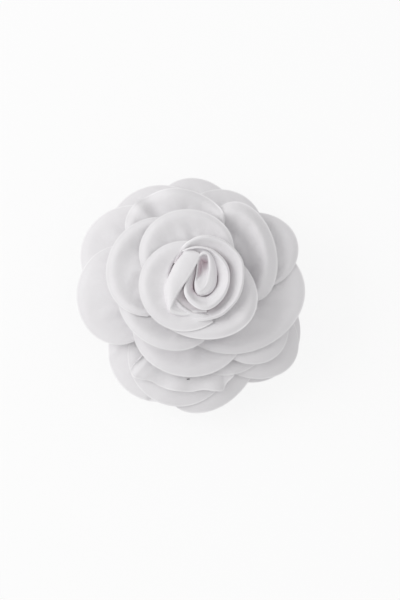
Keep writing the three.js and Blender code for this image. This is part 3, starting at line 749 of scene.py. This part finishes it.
def felt_material():
    """Matted fibres: short curled lines in all directions and a cloudy surface."""
    grey_wool, white_wool = (0.78, 0.765, 0.735, 1), (0.88, 0.87, 0.85, 1)
    material, shader, start = new_material("pressed_felt")
    place = start.node("ShaderNodeTexCoord", output="Object")
    cloud = start.node("ShaderNodeTexNoise", Vector=place, Scale=320.0, Detail=6.0, Roughness=0.7)
    fibres = start.node("ShaderNodeTexNoise", Vector=place, Scale=1500.0, Detail=3.0, Distortion=2.5)
    cloud.mix(grey_wool, white_wool).feeds(shader, "Base Color")
    relief = cloud * 0.7 + fibres * 0.5
    start.node("ShaderNodeBump", Height=relief, Strength=0.8, Distance=0.0004).feeds(shader, "Normal")
    shader.inputs["Roughness"].default_value = 0.95
    shader.inputs["Sheen Weight"].default_value = 0.35
    return material


felt.data.materials.append(felt_material())
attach(felt, "root")
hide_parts("felt_backing")

# ---- Glue bed -------------------------------------------------------------------------------
# Hot-melt glue squeezed out between the felt and the clip: cloudy, waxy and slightly yellow.


def glue_material():
    """Cloudy wax, duller where it is paler."""
    yellowed, milky = (0.72, 0.68, 0.58, 1), (0.82, 0.79, 0.71, 1)
    material, shader, start = new_material("hot_melt_glue")
    place = start.node("ShaderNodeTexCoord", output="Object")
    cloud = start.node("ShaderNodeTexNoise", Vector=place, Scale=260.0, Detail=3.0)
    cloud.mix(yellowed, milky).feeds(shader, "Base Color")
    (0.28 + cloud * 0.2).feeds(shader, "Roughness")
    start.node("ShaderNodeBump", Height=cloud, Strength=0.5, Distance=0.0005).feeds(shader, "Normal")
    return material


glue_bed = frame["nodes"]["glue_bed"]
glue_bed.data.materials.clear()
glue_bed.data.materials.append(glue_material())

# ---- Clip -----------------------------------------------------------------------------------
# Two strips of nickelled steel, blanked and bent, hinge on a riveted pin. The blanking leaves
# every edge slightly rounded, and rolling leaves faint lines along the strip.


def steel_material():
    """Nickel plate over rolled strip: lines run along it, and handling has smudged it."""
    smudged, bright = (0.56, 0.57, 0.58, 1), (0.70, 0.70, 0.69, 1)
    material, shader, start = new_material("nickelled_strip")
    place = start.node("ShaderNodeTexCoord", output="Object")
    along = start.node("ShaderNodeMapping", Vector=place, Scale=(60.0, 2400.0, 900.0))
    lines = start.node("ShaderNodeTexNoise", Vector=along, Scale=1.0, Detail=3.0)
    smudge = start.node("ShaderNodeTexNoise", Vector=place, Scale=180.0, Detail=4.0)
    (0.16 + smudge * 0.16 + lines * 0.1).feeds(shader, "Roughness")
    smudge.mix(smudged, bright).feeds(shader, "Base Color")
    start.node("ShaderNodeBump", Height=lines, Strength=0.12, Distance=0.0001).feeds(shader, "Normal")
    shader.inputs["Metallic"].default_value = 1.0
    return material


steel = steel_material()
strip_rounding, rivet_rounding = 0.1 * mm, 0.12 * mm


def rounded_copy(node, name, width):
    """A CAD node's shape with its edges rounded, as its own piece."""
    copy = frame["nodes"][node].copy()
    copy.data = frame["nodes"][node].data.copy()
    copy.name = name
    for key in list(copy.keys()):
        del copy[key]
    copy.parent = None
    bpy.context.collection.objects.link(copy)
    bpy.ops.object.select_all(action="DESELECT")
    bpy.context.view_layer.objects.active = copy
    copy.select_set(True)
    bpy.ops.object.mode_set(mode="EDIT")
    bpy.ops.mesh.select_all(action="SELECT")
    bpy.ops.mesh.remove_doubles(threshold=0.002 * mm)
    bpy.ops.mesh.dissolve_limited(angle_limit=math.radians(3))
    bpy.ops.object.mode_set(mode="OBJECT")
    edge = copy.modifiers.new("rounded_edges", "BEVEL")
    edge.width = width
    edge.segments = 3
    edge.limit_method = "ANGLE"
    edge.angle_limit = math.radians(40)
    edge.use_clamp_overlap = True
    bpy.ops.object.modifier_apply(modifier=edge.name)
    bpy.ops.object.shade_smooth_by_angle(angle=math.radians(35))
    copy.data.materials.clear()
    copy.data.materials.append(steel)
    return copy


for node, name, width, body in [("top_arm", "top_arm_strip", strip_rounding, "root"),
                                ("lower_jaw", "lower_jaw_strip", strip_rounding, "jaw"),
                                ("pivot_pin", "hinge_rivet", rivet_rounding, "root")]:
    strip = rounded_copy(node, name, width)
    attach(strip, body)
    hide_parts(node)

# ---- Spring ---------------------------------------------------------------------------------
# Hard-drawn wire wound round the pin. One leg lies under the top arm and the other on the lever.

hinge = [value / mm for value in jaw_hinge["pos_m"]]
wire_radius, coil_radius, coil_pitch, turns = 0.3, 1.3, 0.72, 3.5
turn_steps = 24
half_width = turns * coil_pitch / 2
leg_reach = 7.0
route = [(leg_reach, -half_width, -0.6), (5.2, -half_width, -0.75), (3.5, -half_width, -1.0)]
for step in range(int(turns * turn_steps) + 1):
    angle = math.pi / 2 + 2 * math.pi * step / turn_steps
    route.append((coil_radius * math.cos(angle), -half_width + coil_pitch * step / turn_steps,
                  hinge[2] + coil_radius * math.sin(angle)))
route += [(2.2, half_width, hinge[2] - coil_radius), (leg_reach, half_width, -5.23)]
spring_points = smooth_line(route, len(route) * 3) + [hinge[0], 0, 0]
spring = wire_along("spring_coil", spring_points, wire_radius, 4)


def wire_material():
    """Bright drawn wire with a faint smudge of oil."""
    material, shader, start = new_material("spring_wire")
    place = start.node("ShaderNodeTexCoord", output="Object")
    smudge = start.node("ShaderNodeTexNoise", Vector=place, Scale=900.0, Detail=3.0)
    (0.14 + smudge * 0.18).feeds(shader, "Roughness")
    shader.inputs["Base Color"].default_value = (0.66, 0.66, 0.67, 1)
    shader.inputs["Metallic"].default_value = 1.0
    return material


spring.data.materials.append(wire_material())
(hinge[0] - 1.5) * mm
(hinge[2] + 1.2) * mm
(hinge[0] + 3) * mm
(hinge[2] - 2.0) * mm
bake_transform(spring)
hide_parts("torsion_spring")
